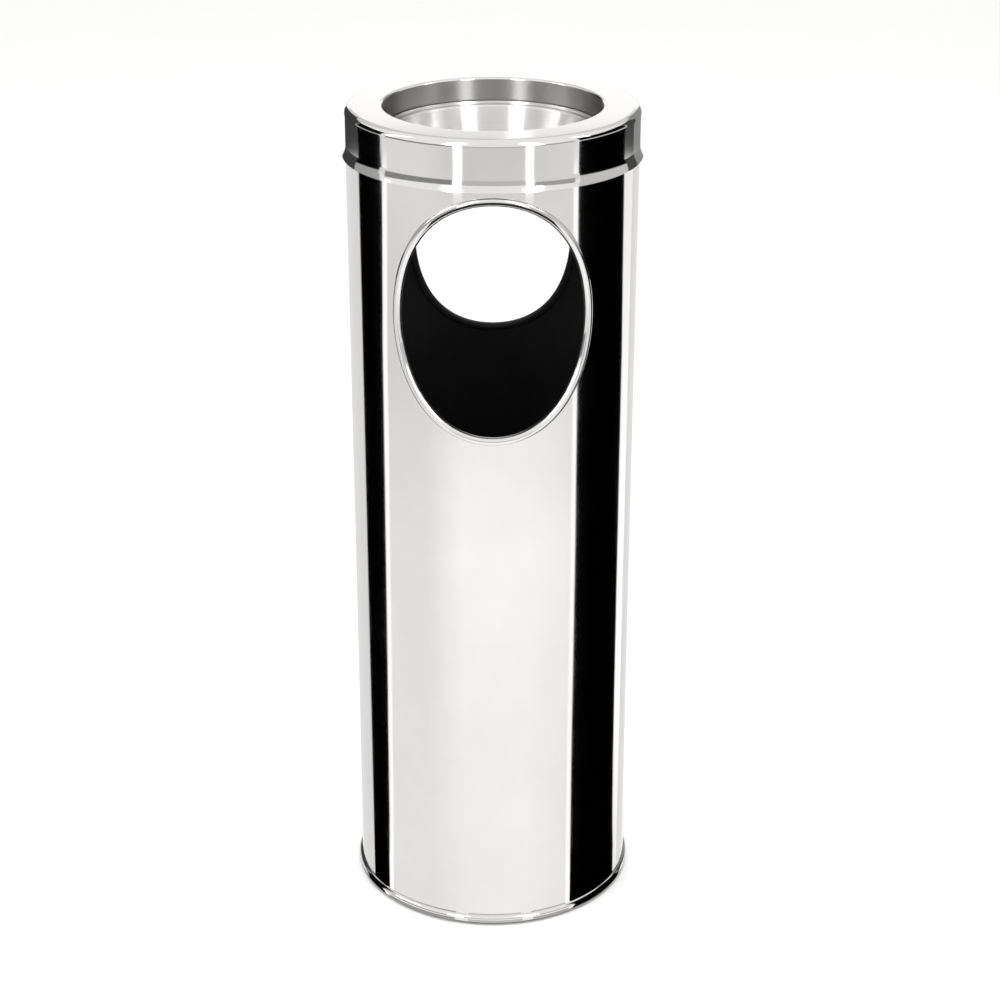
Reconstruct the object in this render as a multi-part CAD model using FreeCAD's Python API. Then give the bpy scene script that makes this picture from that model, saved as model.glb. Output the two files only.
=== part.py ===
"""Floor-standing ashtray bin: a rolled steel tube with an opening front and rear, a lift-off head that
carries an ash bowl, and an inner bin with a swinging bail. Millimetres, +Z up, front towards -Y, origin at
the centre of the floor under the bin. Each separate piece goes to its own STEP file."""

import FreeCAD, Part
import math
import os

Vector = FreeCAD.Vector

# Driving dimensions
TOTAL_HEIGHT = 600.0
BODY_R = 102.5             # outside of the rolled tube
SHEET = 0.8                # tube, head and bowl sheet
HEAD_HEIGHT = 34.6         # from the top down to the head's lower edge
SLIP = 0.3                 # gap between pieces that come apart

# Openings, as ellipses on the flat sheet before it is rolled
TRIM_WIDTH = 6.0
TRIM_GRIP = 2.5            # how far the sheet's edge reaches into the trim
TRIM_PROUD = 2.0           # outside the tube
TRIM_INSIDE = 3.2          # inside the tube
FRONT_OPENING = {"half_width": 68.0, "half_height": 81.5, "centre_z": 474.5, "side": -1}
REAR_OPENING = {"half_width": 62.0, "half_height": 75.0, "centre_z": 481.0, "side": 1}

# Levels
SHELL_BOTTOM = 1.5
HEAD_BOTTOM = TOTAL_HEIGHT - HEAD_HEIGHT
SHELL_TOP = HEAD_BOTTOM - 0.4
BEAD_HEIGHT = 6.5
BEAD_PROUD = 2.5

# Neck ring, welded inside the top of the tube, that the head slips over
NECK_WALL = 1.0
NECK_BOTTOM = 562.5
NECK_TOP = 583.0

# Head
MOUTH_R = 76.0             # inside of the turned-down collar
FLARE_HEIGHT = 4.5         # lower edge of the skirt, swept outwards
FLARE_PROUD = 1.8
FLARE_ROUND = 8.0
HEAD_OUTER_ROUND = 5.0
HEAD_INNER_ROUND = 2.0
COLLAR_DEPTH = 15.5
SEAT_LIP_R = 71.0
SEAT_BELOW_COLLAR = 3.5

# Ash bowl
BOWL_FLANGE_R = 75.4
BOWL_MOUTH_R = 72.5
BOWL_FLOOR_R = 60.0
BOWL_DEPTH = 38.0
BOWL_ROUND = 13.0

# Base
PLATE_SHEET = 1.0
PLATE_RING_TOP = 9.0
PLATFORM_TOP = 16.0
PLATFORM_R = 62.0
PLATE_FLANGE = 18.0
FOOT_R = 11.0
FOOT_HEIGHT = PLATE_RING_TOP - PLATE_SHEET
FOOT_CIRCLE_R = 84.0
FOOT_ANGLES = (45, 135, 225, 315)
SCREW_R = 2.5
SCREW_HEAD_R = 4.75
SCREW_HEAD = 3.2
NUT_ACROSS_FLATS = 8.0
NUT_HEIGHT = 2.7
WASHER_R = 5.0
WASHER = 1.0
WASHER_BOTTOM = 4.0

# Inner bin
BIN_SHEET = 0.7
BIN_BOTTOM = PLATFORM_TOP + SLIP
BIN_TOP = 303.0
BIN_FLOOR_R = 80.0
BIN_MOUTH_R = 88.0
BIN_FLOOR_ROUND = 5.0
BIN_RIM_R = 1.7            # radius of the rolled rim
BAIL_PIVOT_Z = 288.0
BAIL_R = 94.5              # pivot axis to the wire's centre line
BAIL_WIRE_R = 1.8
BAIL_BEND = 3.0            # centre-line round where the ends turn in
PIVOT_PLAY = 0.08
BAIL_TILT = 14.0           # degrees below level, where the bail rests
GRIP_R = 4.0
GRIP_HALF_ANGLE = 30.0
EAR_HALF_WIDTH = 9.0
EAR_THICK = 1.8
EAR_BELOW = 13.0
EAR_ABOVE = 6.5
RIVET_R = 1.6
RIVET_HEAD_R = 3.0
RIVET_HEAD = 1.1
RIVET_SPREAD = 5.5
RIVET_BELOW = 7.5

OUT = "parts"


def save(name, shape):
    shape.exportStep(os.path.join(OUT, name + ".step"))
    kind = shape.ShapeType
    print(f"{name:24s} {kind:9s} solids {len(shape.Solids)} valid {shape.isValid()} cm3 {shape.Volume / 1000:.2f}")


def rounded_wire(corners, closed=False):
    """A wire in the XZ plane through (radius, height, corner round) points, with an arc at each corner."""
    points = [Vector(r, 0, z) for r, z, _ in corners]
    count = len(points)
    starts, ends = list(points), list(points)
    arcs = [None] * count
    for i in range(count):
        size = corners[i][2]
        if size == 0 or (not closed and i in (0, count - 1)):
            continue
        before = (points[i - 1] - points[i]).normalize()
        after = (points[(i + 1) % count] - points[i]).normalize()
        half = before.getAngle(after) / 2
        reach = size / math.tan(half)
        starts[i] = points[i] + before * reach
        ends[i] = points[i] + after * reach
        centre = points[i] + (before + after).normalize() * (size / math.sin(half))
        middle = centre + (points[i] - centre).normalize() * size
        arcs[i] = Part.Arc(starts[i], middle, ends[i]).toShape()
    edges = []
    for i in range(count):
        if arcs[i]:
            edges.append(arcs[i])
        if i < count - 1 or closed:
            nearest = starts[(i + 1) % count]
            if (nearest - ends[i]).Length > 1e-6:
                edges.append(Part.LineSegment(ends[i], nearest).toShape())
    return Part.Wire(edges)


def turned(face):
    return face.revolve(Vector(0, 0, 0), Vector(0, 0, 1), 360)


def turned_solid(corners):
    """A solid of revolution from a closed profile."""
    return turned(Part.Face(rounded_wire(corners, closed=True)))


def turned_sheet(corners, thickness):
    """A sheet-metal form of revolution: the profile line, thickened to one side."""
    return turned(rounded_wire(corners).makeOffset2D(thickness, 0, True, True))


def half_round_hoop(inner_r, bottom, height, proud):
    """A hoop of half-round section, flat inside and round outside."""
    low, high = Vector(inner_r, 0, bottom), Vector(inner_r, 0, bottom + height)
    nose = Vector(inner_r + proud, 0, bottom + height / 2)
    section = Part.Wire([Part.Arc(low, nose, high).toShape(), Part.LineSegment(high, low).toShape()])
    return turned(Part.Face(section))


def tube(inner_r, outer_r, bottom, top):
    outer = Part.makeCylinder(outer_r, top - bottom, Vector(0, 0, bottom))
    return outer.cut(Part.makeCylinder(inner_r, top - bottom, Vector(0, 0, bottom)))


def opening_prism(opening, grow):
    """A bar along Y whose outline is the opening's flat ellipse as it lies on the rolled tube."""
    half_width = opening["half_width"] + grow
    half_height = opening["half_height"] + grow
    steps = 10
    edges = []
    for quarter in range(4):
        points = []
        for i in range(steps + 1):
            turn = math.pi / 2 * (quarter + i / steps)
            across = BODY_R * math.sin(half_width * math.cos(turn) / BODY_R)
            points.append(Vector(across, 0, opening["centre_z"] + half_height * math.sin(turn)))
        level, upright = Vector(1, 0, 0), Vector(0, 0, 1)
        headings = [upright, level * -1, upright * -1, level, upright]
        curve = Part.BSplineCurve()
        curve.interpolate(points, InitialTangent=headings[quarter], FinalTangent=headings[quarter + 1])
        edges.append(curve.toShape())
    face = Part.Face(Part.Wire(edges))
    return face.extrude(Vector(0, opening["side"] * (BODY_R + 20), 0))


def body_shell():
    shell = tube(BODY_R - SHEET, BODY_R, SHELL_BOTTOM, SHELL_TOP)
    for opening in (FRONT_OPENING, REAR_OPENING):
        shell = shell.cut(opening_prism(opening, TRIM_WIDTH - TRIM_GRIP))
    return shell


def opening_trim(opening, shell):
    """The edge ring round one opening, grooved where the sheet's edge sits in it."""
    band = tube(BODY_R - SHEET - TRIM_INSIDE, BODY_R + TRIM_PROUD, 300, SHELL_TOP)
    ring = opening_prism(opening, TRIM_WIDTH).cut(opening_prism(opening, 0))
    return ring.common(band).cut(shell)


def neck_ring():
    """Welded inside the tube below SHELL_TOP, stepped in by the slip gap above it."""
    inside = BODY_R - SHEET
    return turned_solid([
        (inside - SLIP - NECK_WALL, NECK_BOTTOM, 0),
        (inside, NECK_BOTTOM, 0),
        (inside, SHELL_TOP - 0.2, 0),
        (inside - SLIP, SHELL_TOP, 0),
        (inside - SLIP, NECK_TOP, 0.4),
        (inside - SLIP - NECK_WALL, NECK_TOP, 0.4),
    ])


def foot_places():
    for angle in FOOT_ANGLES:
        turn = math.radians(angle)
        yield Vector(FOOT_CIRCLE_R * math.cos(turn), FOOT_CIRCLE_R * math.sin(turn), 0)


def base_plate():
    outside = BODY_R - SHEET
    ring_r = PLATFORM_R + 7
    plate = turned_sheet([
        (0, PLATFORM_TOP, 0),
        (PLATFORM_R, PLATFORM_TOP, 3),
        (ring_r, PLATE_RING_TOP, 3),
        (outside - PLATE_SHEET, PLATE_RING_TOP, 1.5),
        (outside - PLATE_SHEET, PLATE_RING_TOP + PLATE_FLANGE, 0),
    ], -PLATE_SHEET)
    for place in foot_places():
        plate = plate.cut(Part.makeCylinder(SCREW_R, 30, place))
    return plate


def rubber_foot(place):
    foot = turned_solid([
        (SCREW_R, FOOT_HEIGHT, 0),
        (SCREW_R, WASHER_BOTTOM + WASHER, 0),
        (WASHER_R + 0.4, WASHER_BOTTOM + WASHER, 0),
        (WASHER_R + 0.4, 0, 0),
        (FOOT_R, 0, 1.0),
        (FOOT_R - 1.0, FOOT_HEIGHT, 0.5),
    ])
    foot.translate(place)
    return foot


def foot_screw(place):
    """Pan head above the plate, with a cross recess."""
    end = WASHER_BOTTOM - NUT_HEIGHT - 0.2
    top = PLATE_RING_TOP + SCREW_HEAD
    screw = turned_solid([
        (0, end, 0),
        (SCREW_R, end, 0.4),
        (SCREW_R, PLATE_RING_TOP, 0),
        (SCREW_HEAD_R, PLATE_RING_TOP, 0),
        (SCREW_HEAD_R, top, 1.6),
        (0, top, 0),
    ])
    for long_x, long_y in ((5.2, 1.1), (1.1, 5.2)):
        corner = Vector(-long_x / 2, -long_y / 2, top - 1.5)
        screw = screw.cut(Part.makeBox(long_x, long_y, 2, corner))
    screw.translate(place)
    return screw


def foot_washer(place):
    washer = tube(SCREW_R, WASHER_R, WASHER_BOTTOM, WASHER_BOTTOM + WASHER)
    washer.translate(place)
    return washer


def foot_nut(place):
    corner_r = NUT_ACROSS_FLATS / 2 / math.cos(math.radians(30))
    bottom = WASHER_BOTTOM - NUT_HEIGHT
    corners = []
    for i in range(7):
        turn = math.radians(60 * i)
        corners.append(Vector(corner_r * math.cos(turn), corner_r * math.sin(turn), bottom))
    nut = Part.Face(Part.makePolygon(corners)).extrude(Vector(0, 0, NUT_HEIGHT))
    nut = nut.cut(Part.makeCylinder(SCREW_R, NUT_HEIGHT, Vector(0, 0, bottom)))
    nut.translate(place)
    return nut


def head_rim():
    """Skirt with a flared lower edge, flat top and turned-down collar, pressed from one sheet."""
    return turned_sheet([
        (BODY_R - SHEET + FLARE_PROUD, HEAD_BOTTOM, 0),
        (BODY_R - SHEET, HEAD_BOTTOM + FLARE_HEIGHT, FLARE_ROUND),
        (BODY_R - SHEET, TOTAL_HEIGHT - SHEET, HEAD_OUTER_ROUND - SHEET),
        (MOUTH_R + SHEET, TOTAL_HEIGHT - SHEET, HEAD_INNER_ROUND - SHEET),
        (MOUTH_R + SHEET, TOTAL_HEIGHT - COLLAR_DEPTH, 0),
    ], -SHEET)


def bowl_seat():
    """Ring welded outside the collar, with the lip that the bowl's flange rests on."""
    lip_top = TOTAL_HEIGHT - COLLAR_DEPTH - SEAT_BELOW_COLLAR
    inside = MOUTH_R + SHEET
    return turned_sheet([
        (inside, TOTAL_HEIGHT - 5, 0),
        (inside, lip_top, 1.0),
        (SEAT_LIP_R, lip_top, 0),
    ], SHEET)


def ash_bowl():
    flange = TOTAL_HEIGHT - COLLAR_DEPTH - SEAT_BELOW_COLLAR + SLIP
    return turned_sheet([
        (BOWL_FLANGE_R, flange + 2.2, 0),
        (BOWL_FLANGE_R, flange, 1.0),
        (SEAT_LIP_R - SLIP - SHEET, flange, 1.5),
        (BOWL_FLOOR_R, flange - BOWL_DEPTH, BOWL_ROUND),
        (0, flange - BOWL_DEPTH, 0),
    ], -SHEET)


def bin_wall_r(height):
    """Outside radius of the tapered inner bin at a height."""
    share = (height - BIN_BOTTOM) / (BIN_TOP - BIN_BOTTOM)
    return BIN_FLOOR_R + (BIN_MOUTH_R - BIN_FLOOR_R) * share


def bin_bucket():
    bucket = turned_sheet([
        (0, BIN_BOTTOM, 0),
        (BIN_FLOOR_R, BIN_BOTTOM, BIN_FLOOR_ROUND),
        (BIN_MOUTH_R, BIN_TOP, 0),
    ], BIN_SHEET)
    rim = Part.makeTorus(BIN_MOUTH_R + BIN_RIM_R - BIN_SHEET, BIN_RIM_R, Vector(0, 0, BIN_TOP))
    return bucket.fuse(rim)


def rivet_places(side):
    for across in (-RIVET_SPREAD, RIVET_SPREAD):
        yield Vector(side, across, BAIL_PIVOT_Z - RIVET_BELOW)


def along_x(radius, start, end, y, z):
    """A round bar along X from start to end."""
    way = Vector(math.copysign(1, end - start), 0, 0)
    return Part.makeCylinder(radius, abs(end - start), Vector(start, y, z), way)


def ear_outer_x():
    return bin_wall_r(BAIL_PIVOT_Z + EAR_ABOVE) + EAR_THICK


def ear_rivet(place):
    """A shank through ear and wall, with a low round head on each side."""
    side = place.x
    wall = math.sqrt(bin_wall_r(place.z) ** 2 - place.y ** 2)
    outer, inner = ear_outer_x(), wall - BIN_SHEET - 0.5
    rivet = along_x(RIVET_R, side * inner, side * outer, place.y, place.z)
    rivet = rivet.fuse(along_x(RIVET_HEAD_R, side * outer, side * (outer + RIVET_HEAD), place.y, place.z))
    rivet = rivet.fuse(along_x(RIVET_HEAD_R, side * (inner - RIVET_HEAD), side * inner, place.y, place.z))
    return rivet.removeSplitter()


def bail_ear(side, bucket, rivets):
    """A plate shaped to the bin's wall, with the hole that the bail turns in."""
    inner = bin_wall_r(BAIL_PIVOT_Z - EAR_BELOW) - 4
    outer = ear_outer_x()
    low = Vector(inner if side > 0 else -outer, -EAR_HALF_WIDTH, BAIL_PIVOT_Z - EAR_BELOW)
    plate = Part.makeBox(outer - inner, 2 * EAR_HALF_WIDTH, EAR_BELOW + EAR_ABOVE, low)
    wall = Part.makeCone(BIN_FLOOR_R, BIN_MOUTH_R, BIN_TOP - BIN_BOTTOM, Vector(0, 0, BIN_BOTTOM))
    plate = plate.cut(wall)
    plate = plate.makeFillet(3.0, [e for e in plate.Edges if runs_along_x(e)])
    plate = plate.cut(along_x(BAIL_WIRE_R + PIVOT_PLAY, side * inner, side * (outer + 1), 0, BAIL_PIVOT_Z))
    for rivet in rivets:
        plate = plate.cut(rivet)
    return plate


def runs_along_x(edge):
    """True for the plate's straight corner edges, which run through its thickness."""
    if len(edge.Vertexes) != 2 or not isinstance(edge.Curve, Part.Line):
        return False
    span = edge.Vertexes[1].Point - edge.Vertexes[0].Point
    return abs(span.x) > 0.5 and abs(span.y) < 1e-6 and abs(span.z) < 1e-6


def tipped(shape):
    """Turns a level piece down about the bail's pivot axis to where the bail rests."""
    shape.rotate(Vector(0, 0, BAIL_PIVOT_Z), Vector(1, 0, 0), BAIL_TILT)
    return shape


def bail_point(degrees):
    turn = math.radians(degrees)
    return Vector(BAIL_R * math.cos(turn), -BAIL_R * math.sin(turn), BAIL_PIVOT_Z)


def swept_arc(radius, start, end):
    """A round bar along part of the bail's level half circle."""
    path = Part.Wire([Part.Arc(bail_point(start), bail_point((start + end) / 2), bail_point(end)).toShape()])
    turn = math.radians(start)
    way = Vector(-math.sin(turn), -math.cos(turn), 0)
    circle = Part.Wire([Part.makeCircle(radius, bail_point(start), way)])
    return path.makePipeShell([circle], True, False)


def bail_wire():
    """Half circle of wire whose ends turn inwards into the ears."""
    stub_end = bin_wall_r(BAIL_PIVOT_Z) + 0.5
    centre_x = math.sqrt((BAIL_R - BAIL_BEND) ** 2 - BAIL_BEND ** 2)
    turn = math.atan2(BAIL_BEND, centre_x)
    level = Vector(0, 0, BAIL_PIVOT_Z)

    def bend(side):
        centre = Vector(side * centre_x, -BAIL_BEND, BAIL_PIVOT_Z)
        half_way = (turn - math.pi / 2) / 2
        middle = centre + Vector(side * math.cos(half_way), -math.sin(half_way), 0) * BAIL_BEND
        on_circle = level + Vector(side * math.cos(turn), -math.sin(turn), 0) * BAIL_R
        return Vector(side * centre_x, 0, BAIL_PIVOT_Z), middle, on_circle

    right, left = bend(1), bend(-1)
    stubs = [Vector(side * stub_end, 0, BAIL_PIVOT_Z) for side in (1, -1)]
    path = Part.Wire([
        Part.LineSegment(stubs[0], right[0]).toShape(),
        Part.Arc(*right).toShape(),
        Part.Arc(right[2], bail_point(90), left[2]).toShape(),
        Part.Arc(left[2], left[1], left[0]).toShape(),
        Part.LineSegment(left[0], stubs[1]).toShape(),
    ])
    circle = Part.Wire([Part.makeCircle(BAIL_WIRE_R, stubs[0], Vector(1, 0, 0))])
    return tipped(path.makePipeShell([circle], True, False))


def bail_grip():
    """Plastic sleeve on the middle of the bail."""
    start, end = 90 - GRIP_HALF_ANGLE, 90 + GRIP_HALF_ANGLE
    sleeve = swept_arc(GRIP_R, start, end).cut(swept_arc(BAIL_WIRE_R, start - 5, end + 5))
    return tipped(sleeve)


def main():
    os.makedirs(OUT, exist_ok=True)

    shell = body_shell()
    save("body_shell", shell)
    save("front_opening_trim", opening_trim(FRONT_OPENING, shell))
    save("rear_opening_trim", opening_trim(REAR_OPENING, shell))
    save("neck_ring", neck_ring())
    save("base_bead", half_round_hoop(BODY_R, SHELL_BOTTOM, BEAD_HEIGHT, BEAD_PROUD))
    save("base_plate", base_plate())
    places = list(foot_places())
    for number, place in enumerate(places, 1):
        save(f"rubber_foot_{number}", rubber_foot(place))
    save("foot_screws", Part.makeCompound([foot_screw(place) for place in places]))
    save("foot_washers", Part.makeCompound([foot_washer(place) for place in places]))
    save("foot_nuts", Part.makeCompound([foot_nut(place) for place in places]))

    save("head_rim", head_rim())
    save("bowl_seat", bowl_seat())
    save("ash_bowl", ash_bowl())

    bucket = bin_bucket()
    rivets = {side: [ear_rivet(place) for place in rivet_places(side)] for side in (-1, 1)}
    for side, name in ((-1, "bail_ear_left"), (1, "bail_ear_right")):
        save(name, bail_ear(side, bucket, rivets[side]))
        for rivet in rivets[side]:
            bucket = bucket.cut(rivet)
    save("bin_bucket", bucket)
    save("ear_rivets", Part.makeCompound(rivets[-1] + rivets[1]))
    save("bail_wire", bail_wire())
    save("bail_grip", bail_grip())


main()
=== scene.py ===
"""Floor-standing ashtray bin in mirror-polished stainless steel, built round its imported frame.

Lengths are in millimetres where they are named in capitals, and turned to metres by MM.
"""

import math

import bmesh
import bpy
from mathutils import Matrix, Vector


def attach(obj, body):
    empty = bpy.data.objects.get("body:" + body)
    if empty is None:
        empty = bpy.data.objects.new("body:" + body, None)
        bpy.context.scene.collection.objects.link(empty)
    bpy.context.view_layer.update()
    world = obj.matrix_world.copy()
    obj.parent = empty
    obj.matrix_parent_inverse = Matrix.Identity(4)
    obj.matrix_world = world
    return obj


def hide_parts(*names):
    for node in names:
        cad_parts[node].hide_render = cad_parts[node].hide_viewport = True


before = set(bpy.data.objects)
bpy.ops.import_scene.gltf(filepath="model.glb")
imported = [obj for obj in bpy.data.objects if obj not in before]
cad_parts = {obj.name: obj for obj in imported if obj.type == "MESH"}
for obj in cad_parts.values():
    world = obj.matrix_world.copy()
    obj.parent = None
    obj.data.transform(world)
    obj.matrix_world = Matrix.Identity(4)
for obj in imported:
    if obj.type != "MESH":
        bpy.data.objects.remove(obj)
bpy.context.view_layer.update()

MM = 0.001
BODY_R = 102.5
SHEET = 0.8
TUBE_BOTTOM = 1.5
TUBE_TOP = 565.0
HEAD_BOTTOM = 565.4
TOP = 600.0
MOUTH_R = 76.0
COLLAR_BOTTOM = 584.5
FRONT = {"half_width": 68.0, "half_height": 81.5, "z": 474.5, "turn": 0.0}
REAR = {"half_width": 62.0, "half_height": 75.0, "z": 481.0, "turn": math.pi}
TRIM_WIDTH = 6.0
TRIM_DEPTH = 6.0
TRIM_MIDDLE_R = 101.5       # tube axis to the middle of the trim's section
HOLE_GROWTH = 3.5           # from the clear opening to the sheet's own edge, under the trim
BIN_BOTTOM = 16.3
BIN_TOP = 303.0
BIN_FLOOR_R = 80.0
BIN_MOUTH_R = 88.0
BIN_SHEET = 0.7
BAIL_PIVOT_Z = 288.0
BAIL_R = 94.5
BAIL_TILT = math.radians(14)
ROUND_STEP = math.radians(6)
SUPPORT = 0.35              # ring kept this near a round, so that flats stay flat in the reflections


# ---------------------------------------------------------------- shop work

def only(piece):
    """Leaves one object selected and active."""
    bpy.ops.object.select_all(action="DESELECT")
    piece.select_set(True)
    bpy.context.view_layer.objects.active = piece


def apply_modifier(piece, kind, **settings):
    only(piece)
    modifier = piece.modifiers.new(kind.lower(), kind)
    for key, value in settings.items():
        setattr(modifier, key, value)
    bpy.ops.object.modifier_apply(modifier=modifier.name)


def put(piece, turn=(0, 0, 0), to=(0, 0, 0)):
    """Turns the piece, moves it, and leaves its object at the origin with its place in the mesh."""
    only(piece)
    piece.rotation_euler = turn
    piece.location = [value * MM for value in to]
    bpy.ops.object.transform_apply(location=True, rotation=True, scale=True)


def clean(piece, angle=35):
    """Closes seams, points faces outwards and smooths all but the real edges."""
    only(piece)
    bpy.ops.object.mode_set(mode="EDIT")
    bpy.ops.mesh.select_all(action="SELECT")
    bpy.ops.mesh.remove_doubles(threshold=0.000005)
    bpy.ops.mesh.normals_make_consistent(inside=False)
    bpy.ops.object.mode_set(mode="OBJECT")
    bpy.ops.object.shade_smooth_by_angle(angle=math.radians(angle))


def rounded(corners):
    """Profile points through (radius, height, round) corners, with an arc and its supports at each round."""
    points = []
    for i, (radius, height, size) in enumerate(corners):
        corner = Vector((radius, height))
        if size == 0:
            points.append(corner)
            continue
        before = (Vector(corners[i - 1][:2]) - corner).normalized()
        after = (Vector(corners[i + 1][:2]) - corner).normalized()
        half = before.angle(after) / 2
        reach = size / math.tan(half)
        centre = corner + (before + after).normalized() * (size / math.sin(half))
        start, end = corner + before * reach - centre, corner + after * reach - centre
        sweep = math.atan2(start.x * end.y - start.y * end.x, start.dot(end))
        steps = max(3, round(abs(sweep) / ROUND_STEP))
        points.append(centre + start + before * SUPPORT)
        for k in range(steps + 1):
            points.append(centre + Matrix.Rotation(sweep * k / steps, 2) @ start)
        points.append(centre + end + after * SUPPORT)
    return points


def turned(name, points, sides=256, closed=False, capped=False):
    """Lathe work: a circle extruded ring by ring along a profile of (radius, height) points."""
    bpy.ops.object.select_all(action="DESELECT")
    radius, height = points[0]
    bpy.ops.mesh.primitive_circle_add(vertices=sides, radius=radius * MM, location=(0, 0, height * MM))
    piece = bpy.context.object
    piece.name = name
    bpy.ops.object.transform_apply(location=True)
    bpy.ops.object.mode_set(mode="EDIT")
    bpy.ops.mesh.select_mode(type="EDGE")
    bpy.ops.mesh.select_all(action="SELECT")
    last = list(points[1:]) + ([points[0]] if closed else [])
    for next_radius, next_height in last:
        rise = {"value": (0, 0, (next_height - height) * MM)}
        bpy.ops.mesh.extrude_edges_move(TRANSFORM_OT_translate=rise)
        grow = next_radius / radius
        bpy.ops.transform.resize(value=(grow, grow, 1), center_override=(0, 0, next_height * MM))
        radius, height = next_radius, next_height
    if capped:
        bpy.ops.mesh.edge_face_add()
    bpy.ops.object.mode_set(mode="OBJECT")
    return piece


def thicken(piece, thickness, offset):
    """Gives a turned skin its sheet thickness, offset 1 outwards or -1 inwards."""
    clean(piece)
    apply_modifier(piece, "SOLIDIFY", thickness=thickness * MM, offset=offset, use_even_offset=True)


def roll_round(piece, radius):
    """Bends a piece that lies flat in XZ round an axis behind it, and centres that axis on Z."""
    turn = piece.dimensions.x / (radius * MM)
    apply_modifier(piece, "SIMPLE_DEFORM", deform_method="BEND", deform_axis="Z", angle=turn)
    put(piece, to=(0, -radius, 0))


def fit_out(piece, body, slot, material, *nodes):
    """Hangs the finished piece on its body, with its finish and the frame nodes it stands for."""
    piece.data.materials.clear()
    piece.data.materials.append(material)
    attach(piece, body)
    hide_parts(*nodes)


# ---------------------------------------------------------------- finishes

def colour(code):
    """An sRGB hex value as linear RGBA."""
    parts = [int(code[i:i + 2], 16) / 255 for i in (1, 3, 5)]
    return tuple(c / 12.92 if c <= 0.04045 else ((c + 0.055) / 1.055) ** 2.4 for c in parts) + (1.0,)


def add(tree, kind, links=None, **settings):
    """Adds one node, sets its properties or inputs, and links its inputs."""
    made = tree.nodes.new("ShaderNode" + kind)
    for key, value in settings.items():
        if hasattr(made, key):
            setattr(made, key, value)
        else:
            made.inputs[key.replace("_", " ")].default_value = value
    for key, socket in (links or {}).items():
        tree.links.new(socket, made.inputs[key if isinstance(key, int) else key.replace("_", " ")])
    return made


def blank(name):
    """A new material with only its output, and its tree."""
    material = bpy.data.materials.new(name)
    material.use_nodes = True
    material.node_tree.nodes.clear()
    return material, material.node_tree


def finish_shader(tree, links, **settings):
    shader = add(tree, "BsdfPrincipled", links, **settings)
    add(tree, "OutputMaterial", {"Surface": shader.outputs[0]})


def mirror_polished_stainless():
    """Stainless sheet buffed to a mirror: sharp reflections, with faint wiping marks and a trace
    of buffing."""
    material, tree = blank("mirror_polished_stainless")
    place = add(tree, "TexCoord").outputs["Object"]
    # Wiping marks are some 60 mm across; buffing runs round the tube, drawn at 1.5 mm so that it can show.
    wiped = add(tree, "TexNoise", {"Vector": place}, Scale=1 / 0.060, Detail=4.0, Roughness=0.6)
    flat = add(tree, "Mapping", {"Vector": place}, Scale=(6, 6, 1 / 0.0015))
    buffed = add(tree, "TexNoise", {"Vector": flat.outputs[0]}, Scale=1.0, Detail=2.0)
    tone = add(tree, "ValToRGB", {"Fac": wiped.outputs[0]})
    tone.color_ramp.elements[0].position = 0.35
    tone.color_ramp.elements[0].color = colour("#E2E0DF")
    tone.color_ramp.elements[1].position = 0.65
    tone.color_ramp.elements[1].color = colour("#E5E4E3")
    haze = add(tree, "MapRange", {"Value": wiped.outputs[0]},
               From_Min=0.3, From_Max=0.7, To_Min=0.05, To_Max=0.075)
    grain = add(tree, "MapRange", {"Value": buffed.outputs[0]},
                From_Min=0.3, From_Max=0.7, To_Min=0.0, To_Max=0.015)
    rough = add(tree, "Math", {0: haze.outputs[0], 1: grain.outputs[0]}, operation="ADD")
    finish_shader(tree, {"Base_Color": tone.outputs[0], "Roughness": rough.outputs[0]}, Metallic=1.0)
    return material


def black_enamel_painted_shade():
    """Near-black half-gloss enamel with the slight orange peel of a spray, used as painted shade
    for the dark inside of the tube and the inner half of its edgings."""
    material, tree = blank("black_enamel_painted_shade")
    place = add(tree, "TexCoord").outputs["Object"]
    peel = add(tree, "TexNoise", {"Vector": place}, Scale=1 / 0.004, Detail=2.0)
    bump = add(tree, "Bump", {"Height": peel.outputs[0]}, Strength=0.15, Distance=0.0003)
    cloud = add(tree, "TexNoise", {"Vector": place}, Scale=1 / 0.050, Detail=3.0)
    rough = add(tree, "MapRange", {"Value": cloud.outputs[0]},
                From_Min=0.3, From_Max=0.7, To_Min=0.34, To_Max=0.44)
    tone = add(tree, "ValToRGB", {"Fac": cloud.outputs[0]})
    tone.color_ramp.elements[0].color = colour("#2C2C2C")
    tone.color_ramp.elements[1].color = colour("#373737")
    links = {"Base_Color": tone.outputs[0], "Roughness": rough.outputs[0], "Normal": bump.outputs[0]}
    finish_shader(tree, links, Specular_IOR_Level=0.25)
    return material


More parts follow.
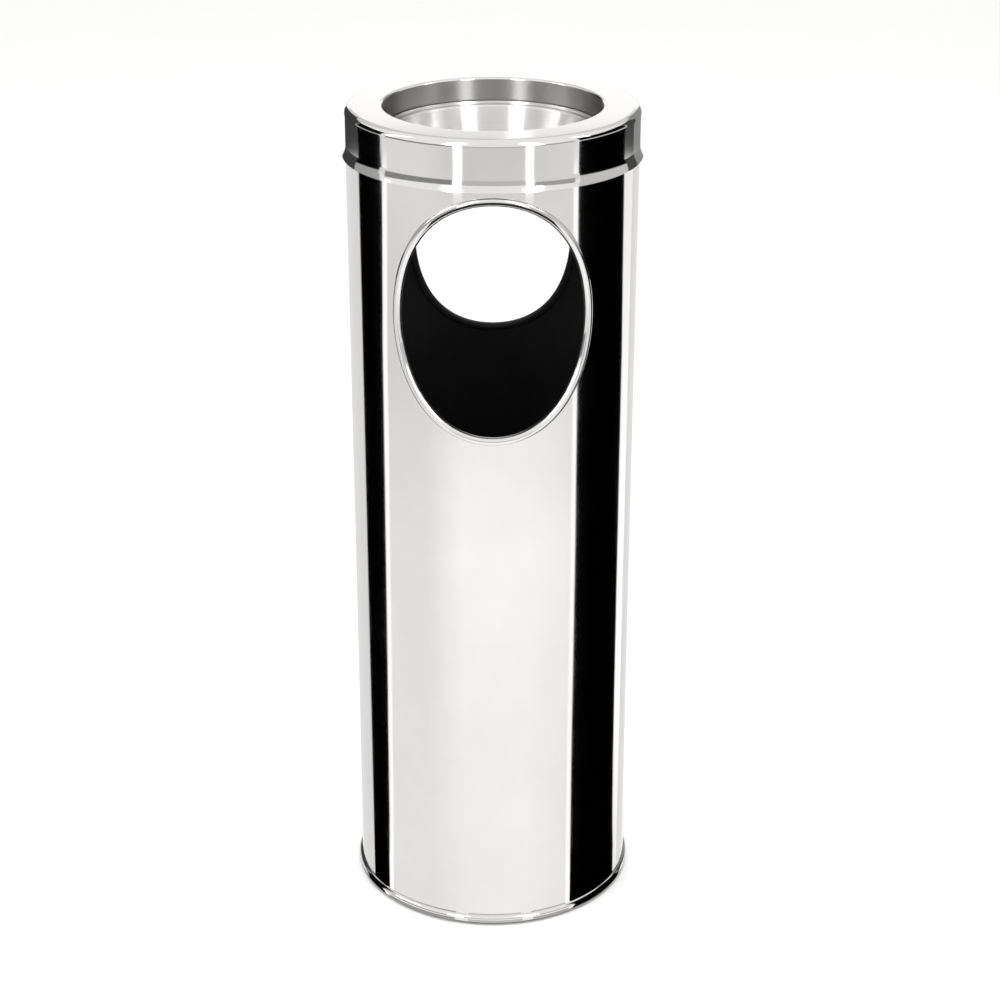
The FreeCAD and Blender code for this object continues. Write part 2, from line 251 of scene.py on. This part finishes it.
def ring_brushed(name, dark, light, sheen):
    """Stainless brushed in fine rings round Z, so that highlights draw out up and down the wall.
    Sheen is the middle of its roughness."""
    material, tree = blank(name)
    place = add(tree, "TexCoord").outputs["Object"]
    # The pattern is read by distance from the axis and height, never by angle.
    parts = add(tree, "SeparateXYZ", {"Vector": place})
    flat = add(tree, "CombineXYZ", {"X": parts.outputs[0], "Y": parts.outputs[1]})
    reach = add(tree, "VectorMath", {0: flat.outputs[0]}, operation="LENGTH")
    ring = add(tree, "CombineXYZ", {"X": reach.outputs["Value"], "Z": parts.outputs[2]})
    # Brush marks are 0.1 to 0.3 mm apart, drawn at 0.8 mm so that they can show.
    marks = add(tree, "TexNoise", {"Vector": ring.outputs[0]}, Scale=1 / 0.0008, Detail=3.0, Roughness=0.7)
    tone = add(tree, "ValToRGB", {"Fac": marks.outputs[0]})
    tone.color_ramp.elements[0].position = 0.2
    tone.color_ramp.elements[0].color = colour(dark)
    tone.color_ramp.elements[1].position = 0.8
    tone.color_ramp.elements[1].color = colour(light)
    rough = add(tree, "MapRange", {"Value": marks.outputs[0]}, From_Min=0.3, From_Max=0.7,
                To_Min=sheen - 0.015, To_Max=sheen + 0.015)
    round_axis = add(tree, "Tangent", direction_type="RADIAL", axis="Z")
    links = {"Base_Color": tone.outputs[0], "Roughness": rough.outputs[0], "Tangent": round_axis.outputs[0]}
    finish_shader(tree, links, Metallic=1.0, Anisotropic=1.0, Anisotropic_Rotation=0.25)
    return material


def spun_stainless():
    """Spun dish, bright from the lathe."""
    return ring_brushed("spun_stainless", "#E2E0DF", "#ECEBEA", 0.285)


def collar_stainless_painted_shade():
    """The inside of the head's collar: the same ring-brushed stainless as the dish under it, with painted
    shade making it greyer.
    """
    return ring_brushed("collar_stainless_painted_shade", "#9A9897", "#A6A5A4", 0.40)


def mill_finish_stainless():
    """Sheet as it comes from the rolling mill: grey, soft sheen, with rolling lines along its length."""
    material, tree = blank("mill_finish_stainless")
    place = add(tree, "TexCoord").outputs["Object"]
    drawn = add(tree, "Mapping", {"Vector": place}, Scale=(15, 15, 1 / 0.0012))
    lines = add(tree, "TexNoise", {"Vector": drawn.outputs[0]}, Scale=1.0, Detail=3.0)
    tone = add(tree, "ValToRGB", {"Fac": lines.outputs[0]})
    tone.color_ramp.elements[0].color = colour("#8F9193")
    tone.color_ramp.elements[1].color = colour("#B9BBBD")
    rough = add(tree, "MapRange", {"Value": lines.outputs[0]},
                From_Min=0.3, From_Max=0.7, To_Min=0.30, To_Max=0.44)
    bump = add(tree, "Bump", {"Height": lines.outputs[0]}, Strength=0.2, Distance=0.00005)
    links = {"Base_Color": tone.outputs[0], "Roughness": rough.outputs[0], "Normal": bump.outputs[0]}
    finish_shader(tree, links, Metallic=1.0)
    return material


def galvanised_sheet():
    """Hot-dip galvanised steel: dull zinc in frosty spangles, each with its own shade and sheen."""
    material, tree = blank("galvanised_sheet")
    place = add(tree, "TexCoord").outputs["Object"]
    spangle = add(tree, "TexVoronoi", {"Vector": place}, Scale=1 / 0.009, Randomness=1.0)
    frost = add(tree, "TexNoise", {"Vector": place}, Scale=1 / 0.0015, Detail=3.0)
    shade = add(tree, "SeparateColor", {"Color": spangle.outputs["Color"]})
    mixed = add(tree, "Math", {0: shade.outputs[0], 1: frost.outputs[0]}, operation="ADD")
    tone = add(tree, "ValToRGB", {"Fac": mixed.outputs[0]})
    tone.color_ramp.elements[0].position = 0.3
    tone.color_ramp.elements[0].color = colour("#868B8E")
    tone.color_ramp.elements[1].position = 1.0
    tone.color_ramp.elements[1].color = colour("#A8ADB0")
    rough = add(tree, "MapRange", {"Value": mixed.outputs[0]},
                From_Min=0.4, From_Max=1.4, To_Min=0.36, To_Max=0.56)
    bump = add(tree, "Bump", {"Height": mixed.outputs[0]}, Strength=0.15, Distance=0.0001)
    links = {"Base_Color": tone.outputs[0], "Roughness": rough.outputs[0], "Normal": bump.outputs[0]}
    finish_shader(tree, links, Metallic=0.9)
    return material


def bright_zinc_plate():
    """Zinc-plated steel, passivated clear: light, faintly blue, with a soft gloss."""
    material, tree = blank("bright_zinc_plate")
    place = add(tree, "TexCoord").outputs["Object"]
    cloud = add(tree, "TexNoise", {"Vector": place}, Scale=1 / 0.003, Detail=4.0)
    tone = add(tree, "ValToRGB", {"Fac": cloud.outputs[0]})
    tone.color_ramp.elements[0].color = colour("#AEB2B8")
    tone.color_ramp.elements[1].color = colour("#CBCED2")
    rough = add(tree, "MapRange", {"Value": cloud.outputs[0]},
                From_Min=0.3, From_Max=0.7, To_Min=0.22, To_Max=0.34)
    finish_shader(tree, {"Base_Color": tone.outputs[0], "Roughness": rough.outputs[0]}, Metallic=1.0)
    return material


def black_powder_coat():
    """Satin powder coat on steel sheet: black, with the fine pebbled skin of melted powder."""
    material, tree = blank("black_powder_coat")
    place = add(tree, "TexCoord").outputs["Object"]
    pebble = add(tree, "TexNoise", {"Vector": place}, Scale=1 / 0.0012, Detail=2.0)
    tone = add(tree, "ValToRGB", {"Fac": pebble.outputs[0]})
    tone.color_ramp.elements[0].color = colour("#151515")
    tone.color_ramp.elements[1].color = colour("#202020")
    rough = add(tree, "MapRange", {"Value": pebble.outputs[0]},
                From_Min=0.3, From_Max=0.7, To_Min=0.42, To_Max=0.54)
    bump = add(tree, "Bump", {"Height": pebble.outputs[0]}, Strength=0.3, Distance=0.0002)
    links = {"Base_Color": tone.outputs[0], "Roughness": rough.outputs[0], "Normal": bump.outputs[0]}
    finish_shader(tree, links)
    return material


def moulded_rubber():
    """Moulded rubber: deep grey-black and matt, with a little bloom on its skin."""
    material, tree = blank("moulded_rubber")
    place = add(tree, "TexCoord").outputs["Object"]
    bloom = add(tree, "TexNoise", {"Vector": place}, Scale=1 / 0.004, Detail=4.0)
    tone = add(tree, "ValToRGB", {"Fac": bloom.outputs[0]})
    tone.color_ramp.elements[0].color = colour("#161616")
    tone.color_ramp.elements[1].color = colour("#262626")
    rough = add(tree, "MapRange", {"Value": bloom.outputs[0]},
                From_Min=0.3, From_Max=0.7, To_Min=0.70, To_Max=0.85)
    bump = add(tree, "Bump", {"Height": bloom.outputs[0]}, Strength=0.2, Distance=0.0001)
    links = {"Base_Color": tone.outputs[0], "Roughness": rough.outputs[0], "Normal": bump.outputs[0]}
    finish_shader(tree, links)
    return material


def moulded_polypropylene():
    """Injection-moulded polypropylene: black, low gloss, with a fine spark-eroded grain."""
    material, tree = blank("moulded_polypropylene")
    place = add(tree, "TexCoord").outputs["Object"]
    grain = add(tree, "TexNoise", {"Vector": place}, Scale=1 / 0.0006, Detail=2.0)
    tone = add(tree, "ValToRGB", {"Fac": grain.outputs[0]})
    tone.color_ramp.elements[0].color = colour("#131313")
    tone.color_ramp.elements[1].color = colour("#1E1E1E")
    rough = add(tree, "MapRange", {"Value": grain.outputs[0]},
                From_Min=0.3, From_Max=0.7, To_Min=0.38, To_Max=0.50)
    bump = add(tree, "Bump", {"Height": grain.outputs[0]}, Strength=0.2, Distance=0.0001)
    links = {"Base_Color": tone.outputs[0], "Roughness": rough.outputs[0], "Normal": bump.outputs[0]}
    finish_shader(tree, links)
    return material


POLISHED = mirror_polished_stainless()
# near-black coat: painted shade for the inside of the tube and its edgings
ENAMEL_PAINTED_SHADE = black_enamel_painted_shade()
SPUN = spun_stainless()
# greyer copy of the dish's stainless: painted shade for the collar
COLLAR_PAINTED_SHADE = collar_stainless_painted_shade()
MILL = mill_finish_stainless()
GALVANISED = galvanised_sheet()
ZINC = bright_zinc_plate()
POWDER = black_powder_coat()
RUBBER = moulded_rubber()
PLASTIC = moulded_polypropylene()


# ---------------------------------------------------------------- pieces

def oval_cutter(opening):
    """A bar through the tube's wall whose outline is the opening's flat oval as it lies on the tube."""
    bpy.ops.object.select_all(action="DESELECT")
    bpy.ops.mesh.primitive_circle_add(vertices=192, radius=MM, rotation=(math.pi / 2, 0, 0))
    cutter = bpy.context.object
    cutter.scale = (opening["half_width"] + HOLE_GROWTH, opening["half_height"] + HOLE_GROWTH, 1)
    bpy.ops.object.transform_apply(location=True, rotation=True, scale=True)
    roll_round(cutter, BODY_R)
    bpy.ops.object.mode_set(mode="EDIT")
    bpy.ops.mesh.select_mode(type="EDGE")
    bpy.ops.mesh.select_all(action="SELECT")
    bpy.ops.transform.resize(value=(1, 0, 1), center_override=(0, -50 * MM, 0))
    bpy.ops.mesh.edge_face_add()
    bpy.ops.mesh.extrude_region_move(TRANSFORM_OT_translate={"value": (0, -70 * MM, 0)})
    bpy.ops.object.mode_set(mode="OBJECT")
    put(cutter, turn=(0, 0, opening["turn"]), to=(0, 0, opening["z"]))
    clean(cutter)
    return cutter


def second_finish(piece, material, where):
    """Gives the faces that pass the test a finish of their own."""
    piece.data.materials.append(material)
    for face in piece.data.polygons:
        if where(face):
            face.material_index = 1


def make_tube():
    """Rolled tube with its two mouths cut through the sheet."""
    tube = turned("tube", [(BODY_R, TUBE_BOTTOM), (BODY_R, TUBE_TOP)], sides=720)
    thicken(tube, SHEET, -1)
    for opening in (FRONT, REAR):
        cutter = oval_cutter(opening)
        apply_modifier(tube, "BOOLEAN", operation="DIFFERENCE", object=cutter, solver="EXACT")
        bpy.data.objects.remove(cutter)
    clean(tube)
    fit_out(tube, "body", "polished_steel", POLISHED, "body_shell")
    # the inward faces take the near-black coat, painted shade for the inside of the tube
    second_finish(tube, ENAMEL_PAINTED_SHADE, lambda face: face.normal.xy.dot(face.center.xy.normalized()) < -0.5)


def make_trim(name, opening, node):
    """Round edging, a little flattened, laid along the flat oval and rolled on to the tube."""
    bpy.ops.object.select_all(action="DESELECT")
    bpy.ops.curve.primitive_bezier_circle_add(radius=MM)
    trim = bpy.context.object
    trim.name = name
    middle = TRIM_WIDTH / 2
    bpy.ops.object.mode_set(mode="EDIT")
    bpy.ops.curve.select_all(action="SELECT")
    bpy.ops.transform.resize(value=(opening["half_width"] + middle, opening["half_height"] + middle, 1))
    bpy.ops.object.mode_set(mode="OBJECT")
    trim.data.resolution_u = 64
    trim.data.bevel_depth = middle * MM
    trim.data.bevel_resolution = 7
    trim.data.use_fill_caps = False
    bpy.ops.object.convert(target="MESH")
    put(trim, turn=(math.pi / 2, 0, 0))
    trim.scale = (1, TRIM_DEPTH / TRIM_WIDTH, 1)
    put(trim, to=(0, BODY_R - TRIM_MIDDLE_R, 0))
    roll_round(trim, BODY_R)
    put(trim, turn=(0, 0, opening["turn"]), to=(0, 0, opening["z"]))
    clean(trim, angle=60)
    fit_out(trim, "body", "polished_steel", POLISHED, node)
    # the edging's inner half takes the same near-black coat, painted shade
    second_finish(trim, ENAMEL_PAINTED_SHADE, lambda face: face.center.xy.length < (TRIM_MIDDLE_R - 0.3) * MM)


def half_round(inner_r, bottom, height, proud, steps=14):
    """Points of a half-round section, flat inside and round outside."""
    bulge = ((height / 2) ** 2 + proud ** 2) / (2 * proud)
    centre_r, centre_z = inner_r + proud - bulge, bottom + height / 2
    span = math.asin(height / 2 / bulge)
    if proud > bulge:
        span = math.pi - span
    turns = [span * (2 * k / steps - 1) for k in range(steps + 1)]
    return [(centre_r + bulge * math.cos(t), centre_z + bulge * math.sin(t)) for t in turns]


def make_bead(name, body, node, **size):
    """Half-round bead on the outside of the tube."""
    bead = turned(name, half_round(BODY_R, **size), closed=True)
    clean(bead, angle=50)
    fit_out(bead, body, "polished_steel", POLISHED, node)


def make_head():
    """Skirt with its lower edge swept outwards, flat top and turned-down collar in one sheet."""
    flare_proud, flare_height = 1.8, 4.5
    head = turned("head_cover", rounded([
        (BODY_R + flare_proud, HEAD_BOTTOM, 0),
        (BODY_R, HEAD_BOTTOM + flare_height, 20.0),
        (BODY_R, TOP, 5.0),
        (MOUTH_R, TOP, 2.0),
        (MOUTH_R, COLLAR_BOTTOM, 0),
    ]))
    thicken(head, SHEET, -1)
    clean(head)
    fit_out(head, "head", "polished_steel", POLISHED, "head_rim")
    # the collar's inner faces take the greyer copy of the dish's stainless, painted shade
    second_finish(head, COLLAR_PAINTED_SHADE, lambda face: face.center.z < (TOP - 1.2) * MM
                  and face.center.xy.length < (MOUTH_R + 2) * MM)


def make_ash_bowl():
    """Dish with an upturned flange that rests on the seat ring."""
    flange, floor, upstand_r = 581.3, 543.3, 75.4
    bowl = turned("ash_dish", rounded([
        (upstand_r, flange + 2.2, 0),
        (upstand_r, flange, 1.0),
        (69.9, flange, 1.5),
        (60.0, floor, 13.0),
        (1.0, floor, 0),
    ]), capped=True)
    thicken(bowl, SHEET, -1)
    clean(bowl)
    fit_out(bowl, "ash_bowl", "turned_steel", SPUN, "ash_bowl")


def make_inner_bin():
    """Bucket with two swaged ribs and a rim rolled over outwards."""
    def wall(height):
        return BIN_FLOOR_R + (BIN_MOUTH_R - BIN_FLOOR_R) * (height - BIN_BOTTOM) / (BIN_TOP - BIN_BOTTOM)

    corners = [(1.0, BIN_BOTTOM, 0), (BIN_FLOOR_R, BIN_BOTTOM, 5.0)]
    for rib in (60.0, 250.0):
        for out, rise in ((0, -3.5), (1.6, -1.2), (1.6, 1.2), (0, 3.5)):
            corners.append((wall(rib) + out, rib + rise, 1.2))
    corners.append((wall(BIN_TOP - 4), BIN_TOP - 4, 0))
    points = rounded(corners)
    roll_r, roll_z, roll = BIN_MOUTH_R + 1.0, BIN_TOP, 1.35
    points += [(roll_r - roll * math.cos(t), roll_z + roll * math.sin(t)) for t in
               [math.radians(-20 + 20 * k) for k in range(15)]]
    bucket = turned("inner_bucket", points)
    only(bucket)
    bpy.ops.object.mode_set(mode="EDIT")
    bpy.ops.mesh.select_all(action="DESELECT")
    mesh = bmesh.from_edit_mesh(bucket.data)
    for edge in mesh.edges:
        edge.select = all(v.co.xy.length < 1.5 * MM for v in edge.verts)
    bmesh.update_edit_mesh(bucket.data)
    bpy.ops.mesh.edge_face_add()
    bpy.ops.object.mode_set(mode="OBJECT")
    thicken(bucket, BIN_SHEET, -1)
    clean(bucket)
    fit_out(bucket, "inner_bin", "galvanised_steel", GALVANISED, "bin_bucket")


def make_grip():
    """Moulded sleeve with shallow finger rings, bent to the bail."""
    length = 2 * math.radians(30) * BAIL_R
    points = [(2.1, -length / 2), (3.4, -length / 2), (4.0, -length / 2 + 0.8)]
    rings = 14
    for k in range(rings * 6 + 1):
        along = -length / 2 + 3 + (length - 6) * k / (rings * 6)
        points.append((3.7 + 0.3 * math.cos(2 * math.pi * k / 6), along))
    points += [(4.0, length / 2 - 0.8), (3.4, length / 2), (2.1, length / 2)]
    grip = turned("bail_sleeve", points, sides=32, closed=True)
    clean(grip)
    put(grip, turn=(0, math.pi / 2, 0))
    roll_round(grip, BAIL_R)
    put(grip, turn=(BAIL_TILT, 0, 0), to=(0, 0, BAIL_PIVOT_Z))
    clean(grip, angle=45)
    fit_out(grip, "bail", "black_plastic", PLASTIC, "bail_grip")


make_tube()
make_trim("front_edging", FRONT, "front_opening_trim")
make_trim("rear_edging", REAR, "rear_opening_trim")
make_bead("foot_bead", "body", "base_bead", bottom=1.5, height=6.5, proud=2.5)
make_head()
make_ash_bowl()
make_inner_bin()
make_grip()

KEPT = {
    "neck_ring": MILL, "bowl_seat": MILL, "ear_rivets": MILL,
    "base_plate": POWDER,
    "bail_ear_left": GALVANISED, "bail_ear_right": GALVANISED,
    "foot_screws": ZINC, "foot_washers": ZINC, "foot_nuts": ZINC, "bail_wire": ZINC,
    "rubber_foot_1": RUBBER, "rubber_foot_2": RUBBER, "rubber_foot_3": RUBBER, "rubber_foot_4": RUBBER,
}
for node, material in KEPT.items():
    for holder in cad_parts[node].material_slots:
        holder.material = material


# ---------------------------------------------------------------- studio

CAMERA = Vector((0, -1.5547, 0.9775))
WALL = 2.15                 # from the bin to the studio's front wall
NEAR = 0.004                # where the floor cards start, just clear of the tube
BEFORE_WALL = WALL - 0.006  # wall cards, a little in front of the floor panels' upright ends
BEFORE_CARDS = WALL - 0.012  # strip lights, a little in front of the wall cards
BACK = 2.6                  # from the bin to the studio's back wall


def make_camera():
    """Long lens a little above the bin, looking down on its front."""
    camera = bpy.data.objects.new("camera", bpy.data.cameras.new("camera"))
    bpy.context.scene.collection.objects.link(camera)
    camera.location = CAMERA
    camera.rotation_euler = (math.radians(66.63), 0, 0)
    camera.data.lens = 82.6
    camera.data.sensor_width = 36
    camera.data.shift_x = 0.0072
    camera.data.shift_y = -0.0040
    bpy.context.scene.camera = camera


def card_light():
    """An even glow, as strong as the card's own level says at each corner."""
    material, tree = blank("card_light")
    level = add(tree, "Attribute", attribute_name="level")
    light = add(tree, "Emission", {"Strength": level.outputs["Fac"]}, Color=(1, 1, 1, 1))
    add(tree, "OutputMaterial", {"Surface": light.outputs[0]})
    return material


CARD_LIGHT = card_light()


def card(name, rows):
    """A card seen only in polished metal, through rows of (corner, level) points."""
    width = len(rows[0])
    faces = [(row * width + k, row * width + k + 1, (row + 1) * width + k + 1, (row + 1) * width + k)
             for row in range(len(rows) - 1) for k in range(width - 1)]
    points = [point for row in rows for point in row]
    mesh = bpy.data.meshes.new(name)
    mesh.from_pydata([corner for corner, level in points], [], faces)
    levels = mesh.attributes.new("level", "FLOAT", "POINT")
    levels.data.foreach_set("value", [level for corner, level in points])
    mesh.materials.append(CARD_LIGHT)
    piece = bpy.data.objects.new(name, mesh)
    bpy.context.scene.collection.objects.link(piece)
    piece.visible_camera = False
    piece.visible_diffuse = False
    piece.visible_transmission = False
    piece.visible_shadow = False


def mirror_ray(turn):
    """Where the camera's line of sight leaves the tube at a bearing on it: the point and the way, on plan."""
    out = Vector((math.sin(turn), -math.cos(turn)))
    point = out * BODY_R * MM
    sight = (point - CAMERA.xy).normalized()
    return point, sight - 2 * sight.dot(out) * out


def reflector(name, rows, steps=8):
    """A card that fills bearings on the tube. Each row is (distance from the tube, height, low bearing,
    high bearing, level at the low one, level at the high one), in metres and degrees."""
    laid = []
    for reach, height, low, high, level_low, level_high in rows:
        laid.append([])
        for k in range(steps + 1):
            point, ray = mirror_ray(math.radians(low + (high - low) * k / steps))
            level = level_low + (level_high - level_low) * k / steps
            laid[-1].append(((*(point + ray * reach), height), level))
    card(name, laid)


def panel(name, low, high, level, path):
    """A reflector of one level and one pair of bearings."""
    reflector(name, [(reach, height, low, high, level, level) for reach, height in path])


def make_floor():
    """White sweep that the bin stands on."""
    bpy.ops.object.select_all(action="DESELECT")
    bpy.ops.mesh.primitive_plane_add(size=16)
    floor = bpy.context.object
    floor.name = "studio_floor"
    material, tree = blank("studio_floor")
    place = add(tree, "TexCoord").outputs["Object"]
    cloud = add(tree, "TexNoise", {"Vector": place}, Scale=3.0)
    tone = add(tree, "ValToRGB", {"Fac": cloud.outputs[0]})
    tone.color_ramp.elements[0].color = colour("#F6F6F5")
    tone.color_ramp.elements[1].color = colour("#F9F9F8")
    finish_shader(tree, {"Base_Color": tone.outputs[0]}, Roughness=0.9, Specular_IOR_Level=0.1)
    floor.data.materials.append(material)


def make_light():
    """White surroundings with one soft box overhead."""
    world = bpy.data.worlds.new("studio")
    world.use_nodes = True
    world.node_tree.nodes["Background"].inputs["Color"].default_value = (1, 1, 1, 1)
    world.node_tree.nodes["Background"].inputs["Strength"].default_value = 1.0
    bpy.context.scene.world = world
    lamp = bpy.data.lights.new("softbox", "AREA")
    lamp.shape = "RECTANGLE"
    lamp.size, lamp.size_y = 2.4, 1.6
    lamp.energy = 34
    softbox = bpy.data.objects.new("softbox", lamp)
    bpy.context.scene.collection.objects.link(softbox)
    softbox.location = (0, -0.4, 2.3)
    softbox.visible_glossy = False


# Bearings of the black flags' edges, by distance from the tube.
FLAG_REACH = [NEAR, 0.05, 0.27, 0.66, 1.25, WALL]
LEFT_OUTER = [-62, -62, -62, -62, -62, -62]
LEFT_INNER = [-50.0, -49.8, -48.7, -48.0, -47.4, -45.8]
RIGHT_INNER = [34.4, 34.4, 34.2, 34.6, 34.4, 33.4]
RIGHT_OUTER = [64, 64, 61.8, 61.4, 61.2, 59.6]
# Level of the floor panels at each bearing, from near the tube out to the wall and up it.
PANEL_BEARINGS = [-47, -27, -12, 14, 33]
PANEL_LEVELS = [
    (NEAR, 0.001, (0.98, 0.98, 1.08, 1.10, 1.03)),
    (0.27, 0.001, (0.98, 0.99, 1.13, 1.15, 1.05)),
    (0.66, 0.001, (0.97, 0.97, 1.21, 1.20, 1.10)),
    (1.25, 0.001, (0.80, 0.84, 1.00, 1.00, 0.86)),
    (1.95, 0.001, (0.86, 0.88, 0.88, 0.88, 0.86)),
    (2.02, 0.001, (0.86, 0.88, 0.75, 0.75, 0.86)),
    (WALL, 0.001, (0.86, 0.88, 0.75, 0.75, 0.86)),
    (WALL, 0.600, (0.86, 0.88, 0.75, 0.75, 0.86)),
]


def edge_rows(low, high, height, level):
    """Rows of a card between two edges that wander with the distance, ending a little way up the wall."""
    rows = [(reach, height, a, b, level, level) for reach, a, b in zip(FLAG_REACH, low, high)]
    return rows + [(WALL, 0.3, low[-1], high[-1], level, level)]


def make_flags():
    """Black flags that give the tube its two dark bands, each with a thin light along its inner edge."""
    reflector("flag_left", edge_rows(LEFT_OUTER, LEFT_INNER, 0.0015, 0.0))
    reflector("flag_right", edge_rows(RIGHT_INNER, RIGHT_OUTER, 0.0015, 0.0))
    reflector("edge_light_left", edge_rows(LEFT_INNER, [b + 2.6 for b in LEFT_INNER], 0.002, 1.3))
    reflector("edge_light_right", edge_rows([b - 2.2 for b in RIGHT_INNER], RIGHT_INNER, 0.002, 1.3))


def make_floor_panels():
    """Light panels side by side on the floor, which fill the tube between its dark bands."""
    for k in range(len(PANEL_BEARINGS) - 1):
        low, high = PANEL_BEARINGS[k:k + 2]
        reflector(f"floor_panel_{k + 1}", [(reach, height, low, high, levels[k], levels[k + 1])
                                           for reach, height, levels in PANEL_LEVELS])


def make_front_lights():
    """Strips at the foot of the front wall, and tall lights over it, which only the dish, the collar
    and the roundings can see."""
    to_the_wall = [(1.99, 0.003), (BEFORE_CARDS, 0.003), (BEFORE_CARDS, 1.0)]
    panel("strip_light_left", -14.7, -11.2, 1.6, to_the_wall)
    panel("strip_light_right", 12.0, 15.1, 1.6, to_the_wall)
    over_the_wall = [(WALL, 1.0), (WALL, 3.2)]
    panel("tall_light_left", -18.5, -12, 9.0, over_the_wall)
    panel("tall_light_right", 12, 18.5, 9.0, over_the_wall)
    panel("thin_light_left", -43, -41.4, 7.0, over_the_wall)
    panel("thin_light_right", 40.4, 42, 7.0, over_the_wall)


def make_front_wall():
    """The wall behind the floor's edge, seen by the flared edge of the skirt."""
    panel("wall_left", -43.2, -14.7, 0.28, [(BEFORE_WALL, 0.2), (BEFORE_WALL, 0.8)])
    panel("wall_middle", -11.2, 12.0, 0.60, [(BEFORE_WALL, 0.2), (BEFORE_WALL, 0.8)])
    panel("wall_right", 15.1, 31.2, 0.42, [(BEFORE_WALL, 0.45), (BEFORE_WALL, 1.0)])
    panel("wall_far_left", -62, -45.8, 0.42, [(WALL, 0.3), (WALL, 1.8)])
    panel("wall_far_right", 33.4, 59.6, 0.66, [(WALL, 0.3), (WALL, 1.8)])


def make_lip_flags():
    """Close in front of the top rounding, which alone can see them."""
    at_lip = [(0.03, 0.5965), (0.03, 0.616)]
    panel("lip_flag_left", -62, -45.8, 0.0, at_lip)
    panel("lip_flag_right", 33.4, 59.6, 0.0, at_lip)


def make_sides():
    """Dark walls and light floor to the left and right of the flags."""
    upright = [(WALL, 0.0), (WALL, 1.6)]
    panel("wall_side_right", 59.6, 68, 0.07, upright)
    panel("wall_edge_right", 68, 80, 0.3, upright)
    panel("wall_side_left", -80, -62, 0.05, upright)
    along_floor = [(NEAR, 0.001), (WALL, 0.001)]
    panel("side_right", 68, 78, 0.86, along_floor)
    panel("side_left", -80, -62, 0.85, along_floor)


def make_foot_cards():
    """Grey cards under the foot bead's overhang, painted shadow for the floor where the bin keeps the
    light off it, and flags for the bead's upper half."""
    at_foot = [(0.0026, 0.0012), (0.012, 0.0012)]
    # grey cards as dark as the shaded floor there: painted contact shadow, seen only in the bead
    panel("foot_shade_left", -50, -15.6, 0.36, at_foot)
    panel("foot_shade_middle", -10, 12, 0.60, at_foot)
    panel("foot_shade_right", 16.5, 34, 0.45, at_foot)
    panel("foot_shade_end_left", -88, -50, 0.02, at_foot)
    panel("foot_shade_end_right", 34, 88, 0.02, at_foot)
    before_foot = [(0.02, 0.005), (0.02, 0.045)]
    panel("foot_flag_left", -62, -50, 0.0, before_foot)
    panel("foot_flag_right", 34.4, 62, 0.0, before_foot)


def make_mouth_shade():
    """A near-black card in front of the mouth, under the top of its edging: painted shade that the edging's
    top reflects.
    """
    clearance = 12
    half_width, half_height = FRONT["half_width"] + 3, FRONT["half_height"] + 3
    out = (BODY_R + clearance) * MM
    shade = []
    for drop in (1.0, 40.0):
        shade.append([])
        for x in range(-44, 45, 8):
            middle = FRONT["z"] + half_height * math.sqrt(1 - (x / half_width) ** 2)
            turn = x / BODY_R
            corner = (out * math.sin(turn), -out * math.cos(turn), (middle - drop) * MM)
            shade[-1].append((corner, 0.03))
    # level 0.03: a near-black card, painted shade
    card("mouth_shade", shade)


def make_back_wall():
    """A glow low on the back wall for the head's flat top, and dimmer cards over it for the collar
    and the dish, with one bright strip."""
    for name, low, high, level, left, right in (
            ("back_glow", 0.90, 1.285, 1.22, -2.5, 2.5),
            ("back_strip", 1.285, 1.9, 1.25, 0.024, 0.075),
            ("back_dim_left", 1.285, 4.0, 0.72, -2.5, 0.024),
            ("back_dim_right", 1.285, 4.0, 0.78, 0.075, 2.5)):
        card(name, [[((x, BACK, z), level) for x in (left, right)] for z in (low, high)])


make_camera()
make_floor()
make_light()
make_flags()
make_floor_panels()
make_front_lights()
make_front_wall()
make_lip_flags()
make_sides()
make_foot_cards()
make_mouth_shade()
make_back_wall()
bpy.context.scene.view_settings.view_transform = "Standard"
